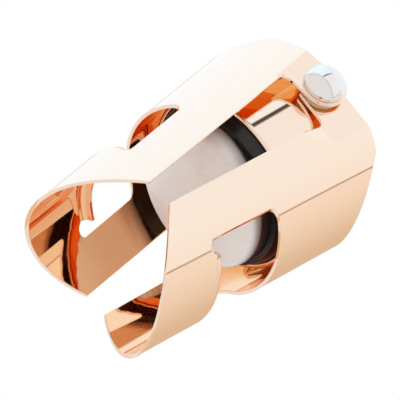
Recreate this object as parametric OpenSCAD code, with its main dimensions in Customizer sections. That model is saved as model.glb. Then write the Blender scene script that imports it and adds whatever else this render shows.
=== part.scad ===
// Sparkling-wine bottle stopper with two hinged wings, sizes in millimetres.
// The origin is the centre of the sealing plug's end face. +Z runs up the bottle's
// axis to the closed end of the cap, and the two rivets lie along Y.

/* [Wings] */
// Outer radius of the half-tube that each wing is bent from
wing_r = 19; // [18.8:0.1:20]
// Thickness of the wing sheet
sheet_t = 0.6; // [0.6:0.05:0.9]
// Lean of the left wing towards the axis, in degrees
left_lean = 8.6; // [2:0.1:9]
// Lean of the right wing towards the axis, in degrees
right_lean = 3.9; // [2:0.1:9]
// Height of the roof edge above the rivets
roof_h = 3.1; // [2:0.1:3.4]
// Drop of the roof edge at the middle of the back
roof_drop = 4.6; // [2:0.1:7]
// Radius of the rounded ear around each rivet
ear_r = 3.9; // [3.8:0.1:4.4]
// Distance of the slot's edge from the middle plane, beside the ear
slot_s = 5.6; // [5.2:0.1:6.5]
// Distance of the beak's tip from the middle plane
beak_s = 6.3; // [5.6:0.1:7.5]
// Depth of the beak's tip below the rivets
beak_u = 37.4; // [35:0.1:40]
// Depth of the lowest edge below the rivets, at the middle of the back
foot_u = 44.6; // [42:0.1:48]

/* [Windows and hooks] */
// Distance of the window's side edges from the middle plane
window_s = 13; // [12:0.1:14]
// Depth of the window's upper edge below the rivets
window_u = 19; // [18:0.1:21]
// Radius of the window's upper corners
window_corner = 1.8; // [1:0.1:2.5]
// Depth of the hook's upper face below the rivets
hook_u = 30.6; // [30:0.1:32]
// Radius of the hook's inner edge
hook_r = 16.6; // [15:0.1:17]
// Outer radius of the hook's bend
hook_bend = 1.6; // [1.2:0.1:1.8]
// Half of the angle that the hook spans around the bottle, in degrees
hook_angle = 35.5; // [28:0.5:36]

/* [Cap] */
// Outer radius of the cap
cap_r = 15.6; // [15:0.1:15.7]
// Thickness of the cap's sheet
cap_t = 1; // [0.6:0.1:1.1]
// Height of the cap's top above the rivets
cap_top = 4.6; // [4.4:0.1:5]
// Depth of the cap's rim below the rivets
cap_rim = 15.2; // [14:0.1:15.5]
// Radius of the rounded edge between the cap's top and side
cap_edge = 2; // [1.5:0.1:2]

/* [Plug] */
// Radius of the silicone boot
boot_r = 12.8; // [12.2:0.1:12.8]
// Radius of the boot's flat end face
nose_r = 7.1; // [6:0.1:9]
// Depth of the end face below the rivets
nose_u = 22.2; // [21.5:0.1:23]
// Depth of the boot's shoulder below the rivets
shoulder_u = 21.2; // [20.2:0.1:21.4]
// Thickness of the boot's skin
boot_t = 1.4; // [1:0.1:1.8]
// Mean radius of the spring
spring_r = 7; // [6:0.1:8]
// Radius of the spring's wire
wire_r = 0.45; // [0.3:0.05:0.5]

/* [Rivets] */
// Radius of the rivet's shank
shank_r = 1.6; // [1.4:0.05:1.8]
// Radius of the domed head
head_r = 3.4; // [3.2:0.1:3.8]
// Height of the domed head
head_h = 2; // [1.5:0.1:2.4]

/* [Hidden] */
$fn = 96;
hair = 0.01;
far = 60;
play = 0.05;

inner_r = wing_r - sheet_t;
spacer_t = 0.3;
inner_ear_y = cap_r + spacer_t + play + sheet_t;
ear_washer_t = 0.7;
ear_washer_y = inner_ear_y + play;
outer_ear_y = ear_washer_y + ear_washer_t + play + sheet_t;
ear_washer_r = 3.3;
head_washer_t = 0.8;
head_washer_r = 3.5;
head_washer_y = outer_ear_y + play;
head_y = head_washer_y + head_washer_t;
ear_hole_r = shank_r + play;
tail_washer_r = 2.5;
tail_washer_y = cap_r - cap_t - 0.9;
tail_r = 2.2;
tail_h = 0.8;
spacer_r = 3.4;
ramp_start = 4.9;
ramp_end = 12;

roof_knee = 12.6;
bottom_bulge = 0.3;
bottom_steps = 8;
slot_fillet = 1.5;
notch_w = 1.85;
notch_u = hook_u + 2.3;
skirt_u = foot_u + 2;

cap_inner_r = cap_r - cap_t;
liner_floor_u = 6;
liner_floor_t = 1.4;
liner_top_u = 4.8;
liner_bore_r = 12.9;
stem_r = 4;
stem_top_u = 2.6;
stem_bore_r = 2.4;
stem_bore_end_u = 12.5;
guide_r = stem_r + play;
groove_depth = 0.6;
clip_t = 0.8;
clip_r = 6;
clip_gap = 2.4;
gasket_top_u = cap_rim - 1.2;
gasket_outer_u = cap_rim;
gasket_lip_u = 17.1;
gasket_crest_r = 13.9;
core_top_u = 14.5;
core_r = boot_r - boot_t;
core_end_u = shoulder_u - 0.9;
core_round = 1;
boot_lip_t = 0.6;
boot_lip_r = 10.4;
boot_round = 1.2;
seat_t = 0.5;
seat_r = 9;
spring_turns = 4;
spring_top_u = liner_floor_u + liner_floor_t;
spring_bottom_u = core_top_u - seat_t;
wire_sides = 10;
turn_steps = 24;

// Shapes below are drawn around the rivet axis, so "u" is a depth below it.
module from_rivets() {
    translate([0, 0, nose_u]) children();
}

// A shape turned so that its Z axis points out along -Y, from the distance y.
module facing_front(y) {
    translate([0, -y, 0]) rotate([90, 0, 0]) children();
}

// A solid from the outline of a side view, where x is the distance from the middle
// plane and y is the height.
module side_prism() {
    rotate([90, 0, 0]) linear_extrude(height = far, center = true) children();
}

// Material that rounds an inside corner at the origin, filling the quadrant +x, -y.
module corner_fill(r) {
    difference() {
        translate([0, -r]) square(r);
        translate([r, -r]) circle(r);
    }
}

// ---- wings ----

// Depth of the foot's edge at the share k of the way from the beak to the back.
function foot_edge(k) = beak_u + (foot_u - beak_u) * k + bottom_bulge * 4 * k * (1 - k);

module wing_blank() {
    foot = [for (i = [0 : bottom_steps])
        let (k = i / bottom_steps)
        [beak_s + (wing_r - beak_s) * k, -foot_edge(k)]];
    polygon(concat(
        [[0, roof_h], [roof_knee, roof_h], [wing_r + hair, roof_h - roof_drop]],
        [[wing_r + hair, -foot_u]],
        [for (i = [bottom_steps : -1 : 0]) foot[i]],
        [[slot_s, -ear_r], [0, -ear_r]]));
    circle(ear_r);
    translate([slot_s, -ear_r]) mirror([1, 0]) corner_fill(slot_fillet);
}

module window_cut() {
    difference() {
        translate([window_s, -hook_u - hook_bend]) square([far, hook_bend + hook_u - window_u]);
        translate([window_s, -window_u]) corner_fill(window_corner);
    }
    translate([window_s, -notch_u + notch_w / 2]) square([notch_w, notch_w]);
    translate([window_s + notch_w / 2, -notch_u + notch_w / 2]) circle(notch_w / 2);
}

// Block between the two faces that are pressed flat around the ears. Each flat
// leans out again below its ear until it meets the round of the tube.
module flats(front_y, back_y, inset) {
    rotate([90, 0, 90]) linear_extrude(height = far, center = true)
        polygon([
            [-front_y + inset, far],
            [-front_y + inset, -ramp_start],
            [-wing_r - hair + inset, -ramp_end],
            [-wing_r - hair, -far],
            [wing_r + hair, -far],
            [wing_r + hair - inset, -ramp_end],
            [back_y - inset, -ramp_start],
            [back_y - inset, far]]);
}

module pressed_tube(r, front_y, back_y, inset) {
    intersection() {
        translate([0, 0, -skirt_u]) cylinder(r = r, h = skirt_u + ear_r * 2);
        flats(front_y, back_y, inset);
    }
}

// The hook is the upper edge of the claw, bent in so that it catches under the
// ring of the bottle's neck.
module hook() {
    side = far * [cos(hook_angle), sin(hook_angle)];
    intersection() {
        rotate_extrude() {
            translate([hook_r, -hook_u - sheet_t]) square([wing_r - hook_bend - hook_r, sheet_t]);
            translate([wing_r - hook_bend, -hook_u - hook_bend]) intersection() {
                difference() {
                    circle(hook_bend);
                    circle(hook_bend - sheet_t);
                }
                square(hook_bend);
            }
        }
        translate([0, 0, -far]) linear_extrude(far) polygon([[0, 0], [side[0], -side[1]], side]);
    }
}

module wing(front_y, back_y) {
    difference() {
        intersection() {
            difference() {
                pressed_tube(wing_r, front_y, back_y, 0);
                pressed_tube(inner_r, front_y, back_y, sheet_t);
            }
            side_prism() difference() {
                wing_blank();
                window_cut();
            }
        }
        rotate([90, 0, 0]) cylinder(r = ear_hole_r, h = far, center = true);
    }
    hook();
}

// The left wing is the right one turned half a turn about the bottle's axis.
module wing_right() {
    color("#eec3a4") from_rivets() rotate([0, right_lean, 0]) wing(inner_ear_y, outer_ear_y);
}

module wing_left() {
    color("#f3cdb2") from_rivets() rotate([0, 0, 180]) rotate([0, left_lean, 0])
        wing(inner_ear_y, outer_ear_y);
}

// ---- cap ----

module cap_outline(r, top, rim, edge) {
    translate([0, -rim]) square([r, rim + top - edge]);
    translate([0, -rim]) square([r - edge, rim + top]);
    translate([r - edge, top - edge]) circle(edge);
}

// Material taken off the rim so that it ends in a full round.
module rim_cut() {
    difference() {
        translate([cap_inner_r - hair, -cap_rim - hair]) square([cap_t + hair * 2, cap_t / 2 + hair]);
        translate([cap_r - cap_t / 2, -cap_rim + cap_t / 2]) circle(cap_t / 2);
    }
}

module cap_shell() {
    color("#f0c8ab") from_rivets() difference() {
        rotate_extrude() difference() {
            cap_outline(cap_r, cap_top, cap_rim, cap_edge);
            cap_outline(cap_inner_r, cap_top - cap_t, cap_rim + hair, cap_edge - cap_t);
            translate([-far, -far]) square([far, far * 2]);
            rim_cut();
        }
        rotate([90, 0, 0]) cylinder(r = shank_r, h = far, center = true);
    }
}

module ring(r_in, r_out, top_u, end_u) {
    translate([r_in, -end_u]) square([r_out - r_in, end_u - top_u]);
}

module cap_liner() {
    color("#17130f") from_rivets() rotate_extrude() {
        ring(liner_bore_r, cap_inner_r, liner_top_u, gasket_top_u);
        ring(guide_r, liner_bore_r, liner_floor_u, liner_floor_u + liner_floor_t);
    }
}

// Rubber ring with a raised crest between its outer and inner faces.
module gasket_ring() {
    color("#1c1714") from_rivets() rotate_extrude() polygon([
        [liner_bore_r, -gasket_top_u],
        [cap_inner_r, -gasket_top_u],
        [cap_inner_r, -gasket_outer_u],
        [gasket_crest_r, -gasket_lip_u],
        [liner_bore_r, -gasket_lip_u]]);
}

// ---- plug ----

// Half section of the core's disc, which the boot grips all round.
module disc_outline() {
    intersection() {
        ring(0, core_r, core_top_u, core_end_u);
        union() {
            ring(0, core_r - core_round, core_top_u, far);
            ring(0, far, core_top_u, core_end_u - core_round);
            translate([core_r - core_round, -core_end_u + core_round]) circle(core_round);
        }
    }
}

module plug_core() {
    color("#e4e0da") from_rivets() rotate_extrude() difference() {
        union() {
            disc_outline();
            ring(0, stem_r, stem_top_u, core_top_u);
        }
        ring(0, stem_bore_r, stem_top_u - hair, stem_bore_end_u);
        ring(stem_r - groove_depth, far, liner_floor_u - clip_t, liner_floor_u);
        translate([-far, -far]) square([far, far * 2]);
    }
}

// Half section of the boot, a skin with a shallow cone between its shoulder and nose.
module boot_outline() {
    inner = boot_r - boot_round;
    bend_u = shoulder_u - boot_round;
    ring(0, boot_r, core_top_u - boot_lip_t, bend_u);
    ring(0, inner, core_top_u - boot_lip_t, shoulder_u);
    translate([inner, -bend_u]) circle(boot_round);
    polygon([[0, -nose_u], [nose_r, -nose_u], [inner, -shoulder_u], [inner, -bend_u], [0, -bend_u]]);
}

module seal_boot() {
    color("#dcd6d0") from_rivets() rotate_extrude() difference() {
        boot_outline();
        disc_outline();
        ring(0, boot_lip_r, core_top_u - boot_lip_t - hair, core_top_u + hair);
        translate([-far, -far]) square([far, far * 2]);
    }
}

module spring_seat() {
    color("#b9bcc0") from_rivets() rotate_extrude()
        ring(guide_r, seat_r, core_top_u - seat_t, core_top_u);
}

// Clip pushed on to the stem's groove from one side.
module retaining_clip() {
    color("#8d9096") from_rivets() translate([0, 0, -liner_floor_u]) difference() {
        cylinder(r = clip_r, h = clip_t);
        translate([0, 0, -hair]) cylinder(r = stem_r - groove_depth, h = clip_t + hair * 2);
        translate([0, -clip_gap, -hair]) cube([clip_r + hair, clip_gap * 2, clip_t + hair * 2]);
    }
}

// Centre of the spring's wire at the step i. The two end turns lie almost flat.
function spring_point(i, steps, top_z, end_z) =
    let (k = i / steps, angle = 360 * spring_turns * k)
    let (eased = k < 0.12 ? k * 0.2 : (k > 0.88 ? 1 - (1 - k) * 0.2 : 0.024 + (k - 0.12) * 0.952 / 0.76))
    [spring_r * cos(angle), spring_r * sin(angle), top_z + (end_z - top_z) * eased];

module plug_spring() {
    steps = spring_turns * turn_steps;
    top_z = -spring_top_u - wire_r - play;
    end_z = -spring_bottom_u + wire_r + play;
    points = [for (i = [0 : steps], j = [0 : wire_sides - 1])
        let (centre = spring_point(i, steps, top_z, end_z))
        let (turn = 360 * spring_turns * i / steps, side = 360 * j / wire_sides)
        [centre[0] + wire_r * cos(side) * cos(turn),
         centre[1] + wire_r * cos(side) * sin(turn),
         centre[2] + wire_r * sin(side)]];
    walls = [for (i = [0 : steps - 1], j = [0 : wire_sides - 1])
        let (a = i * wire_sides + j, b = i * wire_sides + (j + 1) % wire_sides)
        [a, a + wire_sides, b + wire_sides, b]];
    first = [for (j = [0 : wire_sides - 1]) j];
    last = [for (j = [wire_sides - 1 : -1 : 0]) steps * wire_sides + j];
    color("#c7c9cc") from_rivets() polyhedron(points, concat(walls, [first, last]));
}

// ---- rivets ----

module rivet() {
    dome_r = (head_r * head_r + head_h * head_h) / (2 * head_h);
    facing_front(tail_washer_y) cylinder(r = shank_r, h = head_y - tail_washer_y + hair);
    facing_front(tail_washer_y - tail_h) cylinder(r = tail_r, h = tail_h);
    facing_front(head_y) intersection() {
        translate([0, 0, head_h - dome_r]) sphere(dome_r);
        cylinder(r = head_r, h = head_h);
    }
}

module washer(y, thickness, r, bore) {
    facing_front(y) difference() {
        cylinder(r = r, h = thickness);
        translate([0, 0, -hair]) cylinder(r = bore, h = thickness + hair * 2);
    }
}

module head_washer() {
    washer(head_washer_y, head_washer_t, head_washer_r, shank_r);
}

module ear_washer() {
    washer(ear_washer_y, ear_washer_t, ear_washer_r, shank_r);
}

// The spacer's inner face is hollowed to sit on the round of the cap.
module spacer() {
    difference() {
        washer(cap_r - 1, spacer_t + 1, spacer_r, shank_r);
        cylinder(r = cap_r + play, h = far, center = true);
    }
}

// The tail washer's outer face is rounded to sit inside the cap.
module tail_washer() {
    intersection() {
        washer(tail_washer_y, 1, tail_washer_r, shank_r);
        cylinder(r = cap_inner_r, h = far, center = true);
    }
}

module at_front() {
    from_rivets() children();
}

module at_back() {
    from_rivets() rotate([0, 0, 180]) children();
}

module front_rivet() {
    color("#d9dadd") at_front() rivet();
}

module back_rivet() {
    color("#d9dadd") at_back() rivet();
}

module front_head_washer() {
    color("#c9cacd") at_front() head_washer();
}

module back_head_washer() {
    color("#c9cacd") at_back() head_washer();
}

module front_ear_washer() {
    color("#f4f1ea") at_front() ear_washer();
}

module back_ear_washer() {
    color("#f4f1ea") at_back() ear_washer();
}

module front_spacer() {
    color("#f4f1ea") at_front() spacer();
}

module back_spacer() {
    color("#f4f1ea") at_back() spacer();
}

module front_tail_washer() {
    color("#c9cacd") at_front() tail_washer();
}

module back_tail_washer() {
    color("#c9cacd") at_back() tail_washer();
}

wing_left();
wing_right();
cap_shell();
cap_liner();
gasket_ring();
plug_core();
seal_boot();
plug_spring();
spring_seat();
retaining_clip();
front_rivet();
back_rivet();
front_head_washer();
back_head_washer();
front_ear_washer();
back_ear_washer();
front_spacer();
back_spacer();
front_tail_washer();
back_tail_washer();
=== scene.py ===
import math

import bpy
from mathutils import Matrix, Vector


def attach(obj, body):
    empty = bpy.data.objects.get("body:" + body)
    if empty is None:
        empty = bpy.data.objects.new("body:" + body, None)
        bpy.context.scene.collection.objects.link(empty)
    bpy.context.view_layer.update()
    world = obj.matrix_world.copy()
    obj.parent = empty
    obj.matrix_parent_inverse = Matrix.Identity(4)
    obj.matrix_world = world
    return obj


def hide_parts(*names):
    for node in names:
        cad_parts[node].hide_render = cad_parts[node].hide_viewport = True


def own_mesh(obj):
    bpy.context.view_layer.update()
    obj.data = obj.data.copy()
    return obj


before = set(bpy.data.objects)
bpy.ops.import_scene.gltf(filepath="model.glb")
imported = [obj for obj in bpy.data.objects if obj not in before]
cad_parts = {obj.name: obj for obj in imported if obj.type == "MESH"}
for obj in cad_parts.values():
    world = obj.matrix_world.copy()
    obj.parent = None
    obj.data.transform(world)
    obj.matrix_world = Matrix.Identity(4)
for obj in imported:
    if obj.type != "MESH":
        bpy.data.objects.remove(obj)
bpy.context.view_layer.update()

MM = 0.001
RIVET_Z = 22.2 * MM
LEFT_LEAN = math.radians(8.6)
RIGHT_LEAN = math.radians(3.9)

# ---- shader helpers ----


def new_material(name):
    material = bpy.data.materials.new(name)
    material.use_nodes = True
    tree = material.node_tree
    return material, tree, tree.nodes["Principled BSDF"]


def node(tree, kind, **settings):
    made = tree.nodes.new(kind)
    for key, value in settings.items():
        setattr(made, key, value)
    return made


def math_node(tree, operation, first, second=0.0):
    made = node(tree, "ShaderNodeMath", operation=operation)
    for socket, value in zip(made.inputs, (first, second)):
        if isinstance(value, (int, float)):
            socket.default_value = value
        else:
            tree.links.new(value, socket)
    return made.outputs["Value"]


def object_coords(tree):
    return tree.nodes.new("ShaderNodeTexCoord").outputs["Object"]


def mapped(tree, vector, shift=(0, 0, 0), turn=(0, 0, 0), scale=(1, 1, 1), kind="POINT"):
    made = node(tree, "ShaderNodeMapping", vector_type=kind)
    made.inputs["Rotation"].default_value = turn
    made.inputs["Scale"].default_value = scale
    if kind == "POINT":
        made.inputs["Location"].default_value = shift
    tree.links.new(vector, made.inputs["Vector"])
    return made.outputs["Vector"]


def noise(tree, vector, scale, detail=3.0, roughness=0.5):
    made = node(tree, "ShaderNodeTexNoise")
    made.inputs["Scale"].default_value = scale
    made.inputs["Detail"].default_value = detail
    made.inputs["Roughness"].default_value = roughness
    tree.links.new(vector, made.inputs["Vector"])
    return made.outputs["Fac"]


def ranged(tree, value, low, high, to_low, to_high):
    made = node(tree, "ShaderNodeMapRange")
    made.inputs["From Min"].default_value = low
    made.inputs["From Max"].default_value = high
    made.inputs["To Min"].default_value = to_low
    made.inputs["To Max"].default_value = to_high
    tree.links.new(value, made.inputs["Value"])
    return made.outputs["Result"]


def mixed(tree, factor, first, second):
    made = node(tree, "ShaderNodeMix", data_type="RGBA")
    tree.links.new(factor, made.inputs["Factor"])
    for socket, value in ((made.inputs[6], first), (made.inputs[7], second)):
        if isinstance(value, tuple):
            socket.default_value = (*value, 1)
        else:
            tree.links.new(value, socket)
    return made.outputs[2]


def bumped(tree, shader, height, depth, before=None):
    made = node(tree, "ShaderNodeBump")
    made.inputs["Strength"].default_value = 1
    made.inputs["Distance"].default_value = depth
    tree.links.new(height, made.inputs["Height"])
    if before is not None:
        tree.links.new(before, made.inputs["Normal"])
    tree.links.new(made.outputs["Normal"], shader.inputs["Normal"])
    return made.outputs["Normal"]


# ---- materials ----

OUTER_GOLD = (0.95, 0.76, 0.62)
# The wings' inner faces are painted a more saturated gold than the outer ones, a painted reflection of
# light bouncing between the facing sheets.
INNER_BOUNCE_GOLD = (0.93, 0.54, 0.30)
DEEP_BOUNCE_GOLD = (0.89, 0.42, 0.13)
CAP_GOLD = (0.95, 0.76, 0.62)
EDGE_ROUND = 0.22 * MM
# A face is an inner one if it looks at the wing's own axis, over this far along its normal.
INNER_REACH = 8 * MM
# Heights between which the inner gold is painted deeper beside the cap, a painted reflection of light
# bouncing many times in the gap between wing and cap
PAINTED_BOUNCE_START = 5 * MM
PAINTED_BOUNCE_END = 9 * MM
# Heights at which the boot is painted grey and then dark towards the ring, as painted shade, and their
# slope along X, which paints the +X side dark further down
PAINTED_SHADE_START = 2.6 * MM
PAINTED_SHADE_MID = 4.3 * MM
PAINTED_SHADE_FULL = 4.9 * MM
PAINTED_SHADE_SLOPE = 0.15


def facing_out(tree, lean, half_turn):
    """0 on the wing's inner faces, and 1 on its outer faces and cut edges."""
    coords = tree.nodes.new("ShaderNodeTexCoord")
    turn = (0, lean if half_turn else -lean, 0)
    place = mapped(tree, coords.outputs["Object"], (0, 0, -RIVET_Z))
    place = mapped(tree, place, turn=turn)
    place = mapped(tree, place, scale=(1, 1, 0))
    normal = mapped(tree, coords.outputs["Normal"], turn=turn, kind="VECTOR")
    dot = node(tree, "ShaderNodeVectorMath", operation="DOT_PRODUCT")
    tree.links.new(place, dot.inputs[0])
    tree.links.new(normal, dot.inputs[1])
    return math_node(tree, "GREATER_THAN", dot.outputs["Value"], -INNER_REACH)


def gold_surface(tree, shader, roughness):
    """Faint polishing haze, a slight waviness of the pressed sheet and tumbled edges."""
    coords = object_coords(tree)
    tumbled = node(tree, "ShaderNodeBevel", samples=6)
    tumbled.inputs["Radius"].default_value = EDGE_ROUND
    haze_and_painted_shade = noise(tree, coords, 260, 4, 0.6)
    spread = ranged(tree, haze_and_painted_shade, 0.3, 0.7, roughness * 0.6, roughness * 1.5)
    tree.links.new(spread, shader.inputs["Roughness"])
    waves = noise(tree, coords, 70, 1, 0.4)
    first = bumped(tree, shader, waves, 0.00002, tumbled.outputs["Normal"])
    hairlines = noise(tree, mapped(tree, coords, scale=(1, 1, 0.04)), 5200, 2, 0.5)
    bumped(tree, shader, hairlines, 0.0000004, first)


def wing_plate(name, lean, half_turn):
    material, tree, shader = new_material(name)
    shader.inputs["Metallic"].default_value = 1
    # Painted reflection: the inner faces get the deeper gold, and the outer faces and cut edges get the
    # plain one.
    mask = facing_out(tree, lean, half_turn)
    height = node(tree, "ShaderNodeSeparateXYZ")
    tree.links.new(object_coords(tree), height.inputs["Vector"])
    # Painted reflection: the inner gold deepens with height beside the cap.
    painted_bounce_beside_cap = ranged(tree, height.outputs["Z"], PAINTED_BOUNCE_START, PAINTED_BOUNCE_END, 0, 1)
    inner_painted_bounce = mixed(tree, painted_bounce_beside_cap, INNER_BOUNCE_GOLD, DEEP_BOUNCE_GOLD)
    tree.links.new(mixed(tree, mask, inner_painted_bounce, OUTER_GOLD), shader.inputs["Base Color"])
    gold_surface(tree, shader, 0.035)
    return material


def cap_plate():
    material, tree, shader = new_material("cap_plate")
    shader.inputs["Metallic"].default_value = 1
    tint = ranged(tree, noise(tree, object_coords(tree), 90, 2), 0.3, 0.7, 0, 1)
    tree.links.new(mixed(tree, tint, CAP_GOLD, (0.94, 0.74, 0.6)), shader.inputs["Base Color"])
    gold_surface(tree, shader, 0.04)
    return material


def black_part(name, dark, light, roughness, grain):
    material, tree, shader = new_material(name)
    coords = object_coords(tree)
    speck = noise(tree, coords, grain, 5, 0.65)
    color = mixed(tree, ranged(tree, speck, 0.35, 0.7, 0, 1), dark, light)
    tree.links.new(color, shader.inputs["Base Color"])
    spread = ranged(tree, speck, 0.3, 0.7, roughness * 0.8, roughness * 1.2)
    tree.links.new(spread, shader.inputs["Roughness"])
    shader.inputs["Specular IOR Level"].default_value = 0.4
    bumped(tree, shader, speck, 0.00001)
    return material


def boot_silicone():
    """Milky silicone with painted shade: grey and then dark towards the ring, reaching further down on the
    +X side.
    """
    material, tree, shader = new_material("boot_silicone")
    coords = object_coords(tree)
    height = node(tree, "ShaderNodeSeparateXYZ")
    tree.links.new(coords, height.inputs["Vector"])
    cloud = noise(tree, coords, 180, 3, 0.5)
    milk = mixed(tree, ranged(tree, cloud, 0.3, 0.7, 0, 1), (0.90, 0.87, 0.845), (0.93, 0.91, 0.89))
    # Painted shade: grey and then near black towards the ring, reaching lower on the +X side than on the -X
    # side.
    painted_shade_tilt = math_node(tree, "MULTIPLY", height.outputs["X"], PAINTED_SHADE_SLOPE)
    painted_shade_height = math_node(tree, "ADD", height.outputs["Z"], painted_shade_tilt)
    haze_and_painted_shade = mixed(tree, ranged(tree, painted_shade_height, PAINTED_SHADE_START, PAINTED_SHADE_MID, 0, 1), milk, (0.5, 0.45, 0.43))
    painted_shade_near_ring = ranged(tree, painted_shade_height, PAINTED_SHADE_MID, PAINTED_SHADE_FULL, 0, 1)
    color = mixed(tree, painted_shade_near_ring, haze_and_painted_shade, (0.03, 0.026, 0.025))
    tree.links.new(color, shader.inputs["Base Color"])
    shader.inputs["Subsurface Weight"].default_value = 0.25
    shader.inputs["Subsurface Radius"].default_value = (0.0016, 0.0014, 0.0012)
    shader.inputs["Subsurface Scale"].default_value = 1
    tree.links.new(ranged(tree, cloud, 0.3, 0.7, 0.26, 0.36), shader.inputs["Roughness"])
    shader.inputs["Specular IOR Level"].default_value = 0.35
    bumped(tree, shader, noise(tree, coords, 900, 2), 0.000008)
    return material


def pale_plastic(name, first, second, roughness):
    material, tree, shader = new_material(name)
    coords = object_coords(tree)
    cloud = noise(tree, coords, 300, 4, 0.55)
    tree.links.new(mixed(tree, cloud, first, second), shader.inputs["Base Color"])
    spread = ranged(tree, cloud, 0.3, 0.7, roughness * 0.8, roughness * 1.2)
    tree.links.new(spread, shader.inputs["Roughness"])
    bumped(tree, shader, noise(tree, coords, 1500, 2), 0.000006)
    return material


def turned_metal(name, first, second, roughness, groove):
    """Steel with fine rings around the Y axis, as left by turning."""
    material, tree, shader = new_material(name)
    shader.inputs["Metallic"].default_value = 1
    coords = object_coords(tree)
    flat = mapped(tree, mapped(tree, coords, (0, 0, -RIVET_Z)), scale=(1, 0, 1))
    length = node(tree, "ShaderNodeVectorMath", operation="LENGTH")
    tree.links.new(flat, length.inputs[0])
    rings = noise(tree, length.outputs["Value"], 9000, 2)
    haze_and_painted_shade = noise(tree, coords, 500, 3)
    tree.links.new(mixed(tree, haze_and_painted_shade, first, second), shader.inputs["Base Color"])
    spread = ranged(tree, haze_and_painted_shade, 0.3, 0.7, roughness * 0.6, roughness * 1.4)
    tree.links.new(spread, shader.inputs["Roughness"])
    bumped(tree, shader, rings, groove)
    return material


def spring_steel():
    material, tree, shader = new_material("spring_steel")
    shader.inputs["Metallic"].default_value = 1
    coords = object_coords(tree)
    drawn = noise(tree, coords, 800, 4, 0.6)
    color = mixed(tree, drawn, (0.52, 0.53, 0.55), (0.68, 0.69, 0.7))
    tree.links.new(color, shader.inputs["Base Color"])
    tree.links.new(ranged(tree, drawn, 0.3, 0.7, 0.2, 0.35), shader.inputs["Roughness"])
    return material


def give(names, material):
    for name in names:
        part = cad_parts[name]
        part.data.materials.clear()
        part.data.materials.append(material)


def both(name):
    return ["front_" + name, "back_" + name]


give(["wing_left"], wing_plate("wing_plate_left", LEFT_LEAN, True))
give(["wing_right"], wing_plate("wing_plate_right", RIGHT_LEAN, False))
give(["cap_shell"], cap_plate())
give(["cap_liner"], black_part("liner_plastic", (0.012, 0.011, 0.010), (0.03, 0.027, 0.025), 0.45, 900))
give(["gasket_ring"], black_part("gasket_rubber", (0.010, 0.008, 0.008), (0.022, 0.018, 0.017), 0.35, 1400))
give(["seal_boot"], boot_silicone())
give(["plug_core"], pale_plastic("core_plastic", (0.82, 0.8, 0.77), (0.88, 0.86, 0.83), 0.3))
give(both("ear_washer") + both("spacer"), pale_plastic("nylon", (0.8, 0.79, 0.74), (0.88, 0.87, 0.83), 0.4))
give(["plug_spring", "retaining_clip"], spring_steel())
give(["spring_seat"] + both("tail_washer"),
     turned_metal("washer_steel", (0.62, 0.63, 0.64), (0.74, 0.75, 0.76), 0.28, 0.000004))
give(both("rivet") + both("head_washer"),
     turned_metal("rivet_chrome", (0.81, 0.775, 0.745), (0.85, 0.81, 0.78), 0.05, 0.0000004))


def coil_spring():
    """Stands for the CAD spring, as a copy with a mesh of its own, carried by the cap."""
    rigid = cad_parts["plug_spring"]
    piece = bpy.data.objects.new("coil_spring", rigid.data.copy())
    bpy.context.scene.collection.objects.link(piece)
    piece.matrix_world = rigid.matrix_world
    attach(piece, "cap")
    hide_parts("plug_spring")
    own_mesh(piece)


coil_spring()


# ---- light ----

# Brightness of the surroundings by compass direction, from -X round through -Y, +X and +Y.
# Two large soft panels leave thin dark gaps between them, which show up as fine lines
# along the wings and the cap.
PANELS = [
    (-180, (1.03, 1.21, 1.40)),
    (-152, (1.03, 1.21, 1.38)),
    (-140, (1.02, 1.15, 1.28)),
    (-120, (1.01, 1.11, 1.18)),
    (-117.4, (1.0, 1.10, 1.16)),
    (-116.8, (0.09, 0.075, 0.06)),
    (-112.6, (0.09, 0.075, 0.06)),
    (-112.0, (1.0, 1.03, 1.07)),
    (-60, (1.01, 1.055, 1.09)),
    (-40, (1.01, 1.055, 1.07)),
    (-14, (1.01, 1.0, 0.98)),
    (-10.4, (1.01, 0.99, 0.94)),
    (-9.9, (0.42, 0.27, 0.16)),
    (-9.0, (0.42, 0.27, 0.16)),
    (-8.5, (0.98, 0.90, 0.86)),
    (4, (0.95, 0.87, 0.77)),
    (30, (0.87, 0.75, 0.61)),
    (45, (0.82, 0.67, 0.51)),
    (60, (0.77, 0.60, 0.43)),
    (90, (0.72, 0.52, 0.36)),
    (93.6, (1.0, 1.0, 1.0)),
    (118.4, (1.0, 1.0, 1.0)),
    (120, (0.88, 0.80, 0.72)),
    (124, (0.90, 0.84, 0.78)),
    (130, (1.01, 1.15, 1.28)),
    (165, (1.03, 1.21, 1.40)),
    (180, (1.03, 1.21, 1.40)),
]
GAIN = 2.0
OVERHEAD = (1.02, 1.08, 1.14)
BELOW_HORIZON = (0.82, 0.81, 0.80)
# Upward parts of a direction at which the horizon's tone and the overhead's take over
HORIZON_FADE = 0.16
OVERHEAD_START = 0.72
OVERHEAD_FULL = 0.80
FLOOR_SIZE = 6
FLOOR_Z = -0.26


def add_stops(ramp, stops):
    while len(ramp.elements) > 1:
        ramp.elements.remove(ramp.elements[-1])
    for index, (place, color) in enumerate(stops):
        element = ramp.elements[0] if index == 0 else ramp.elements.new(place)
        element.position = place
        element.color = (*[c / GAIN for c in color], 1)


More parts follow.
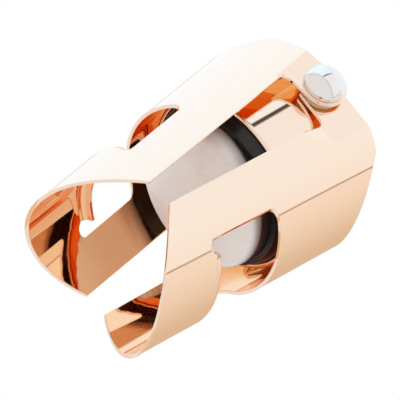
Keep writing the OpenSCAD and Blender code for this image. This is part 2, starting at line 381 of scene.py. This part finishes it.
def studio():
    world = bpy.data.worlds.new("studio")
    bpy.context.scene.world = world
    world.use_nodes = True
    tree = world.node_tree
    background = tree.nodes["Background"]
    direction = tree.nodes.new("ShaderNodeTexCoord").outputs["Generated"]
    split = node(tree, "ShaderNodeSeparateXYZ")
    tree.links.new(direction, split.inputs["Vector"])
    compass = math_node(tree, "ARCTAN2", split.outputs["Y"], split.outputs["X"])
    around = node(tree, "ShaderNodeValToRGB")
    add_stops(around.color_ramp, [((a + 180) / 360, c) for a, c in PANELS])
    tree.links.new(ranged(tree, compass, -math.pi, math.pi, 0, 1), around.inputs["Fac"])
    low = ranged(tree, split.outputs["Z"], 0, HORIZON_FADE, 1, 0)
    high = ranged(tree, split.outputs["Z"], OVERHEAD_START, OVERHEAD_FULL, 0, 1)
    overhead = mixed(tree, high, around.outputs["Color"], tuple(c / GAIN for c in OVERHEAD))
    horizon = tuple(c / GAIN for c in BELOW_HORIZON)
    tree.links.new(mixed(tree, low, overhead, horizon), background.inputs["Color"])
    background.inputs["Strength"].default_value = GAIN


def floor():
    """Pale floor well below the part and the camera."""
    bpy.ops.mesh.primitive_plane_add(size=FLOOR_SIZE, location=(0, 0, FLOOR_Z))
    plane = bpy.context.object
    plane.name = "floor"
    material, tree, shader = new_material("floor")
    cloud = noise(tree, object_coords(tree), 3, 2)
    tree.links.new(mixed(tree, cloud, (0.93, 0.89, 0.86), (0.95, 0.91, 0.88)), shader.inputs["Base Color"])
    shader.inputs["Roughness"].default_value = 0.7
    plane.data.materials.append(material)


# ---- camera ----

# The camera looks up at the open end from the front, and is rolled so that the
# bottle's axis runs down to the left of the picture.
CAMERA_AT = Vector((64.81, -218.69, -153.51)) * MM
LOOK_AT = Vector((0.658, -0.668, 1.215)) * MM
CAMERA_UP = Vector((-0.7394, -0.5206, 0.4269))
FOCAL_RATIO = 4.2635
SENSOR = 36.0


def camera():
    data = bpy.data.cameras.new("camera")
    data.sensor_width = SENSOR
    data.lens = FOCAL_RATIO * SENSOR
    data.clip_start = 0.01
    data.clip_end = 20
    eye = bpy.data.objects.new("camera", data)
    bpy.context.scene.collection.objects.link(eye)
    back = (CAMERA_AT - LOOK_AT).normalized()
    right = CAMERA_UP.cross(back).normalized()
    up = back.cross(right)
    turn = Matrix((right, up, back)).transposed().to_4x4()
    eye.matrix_world = Matrix.Translation(CAMERA_AT) @ turn
    bpy.context.scene.camera = eye


def colour_handling():
    scene = bpy.context.scene
    scene.view_settings.view_transform = "Standard"
    scene.cycles.max_bounces = 24
    scene.cycles.glossy_bounces = 20
    scene.cycles.diffuse_bounces = 6


studio()
floor()
camera()
colour_handling()
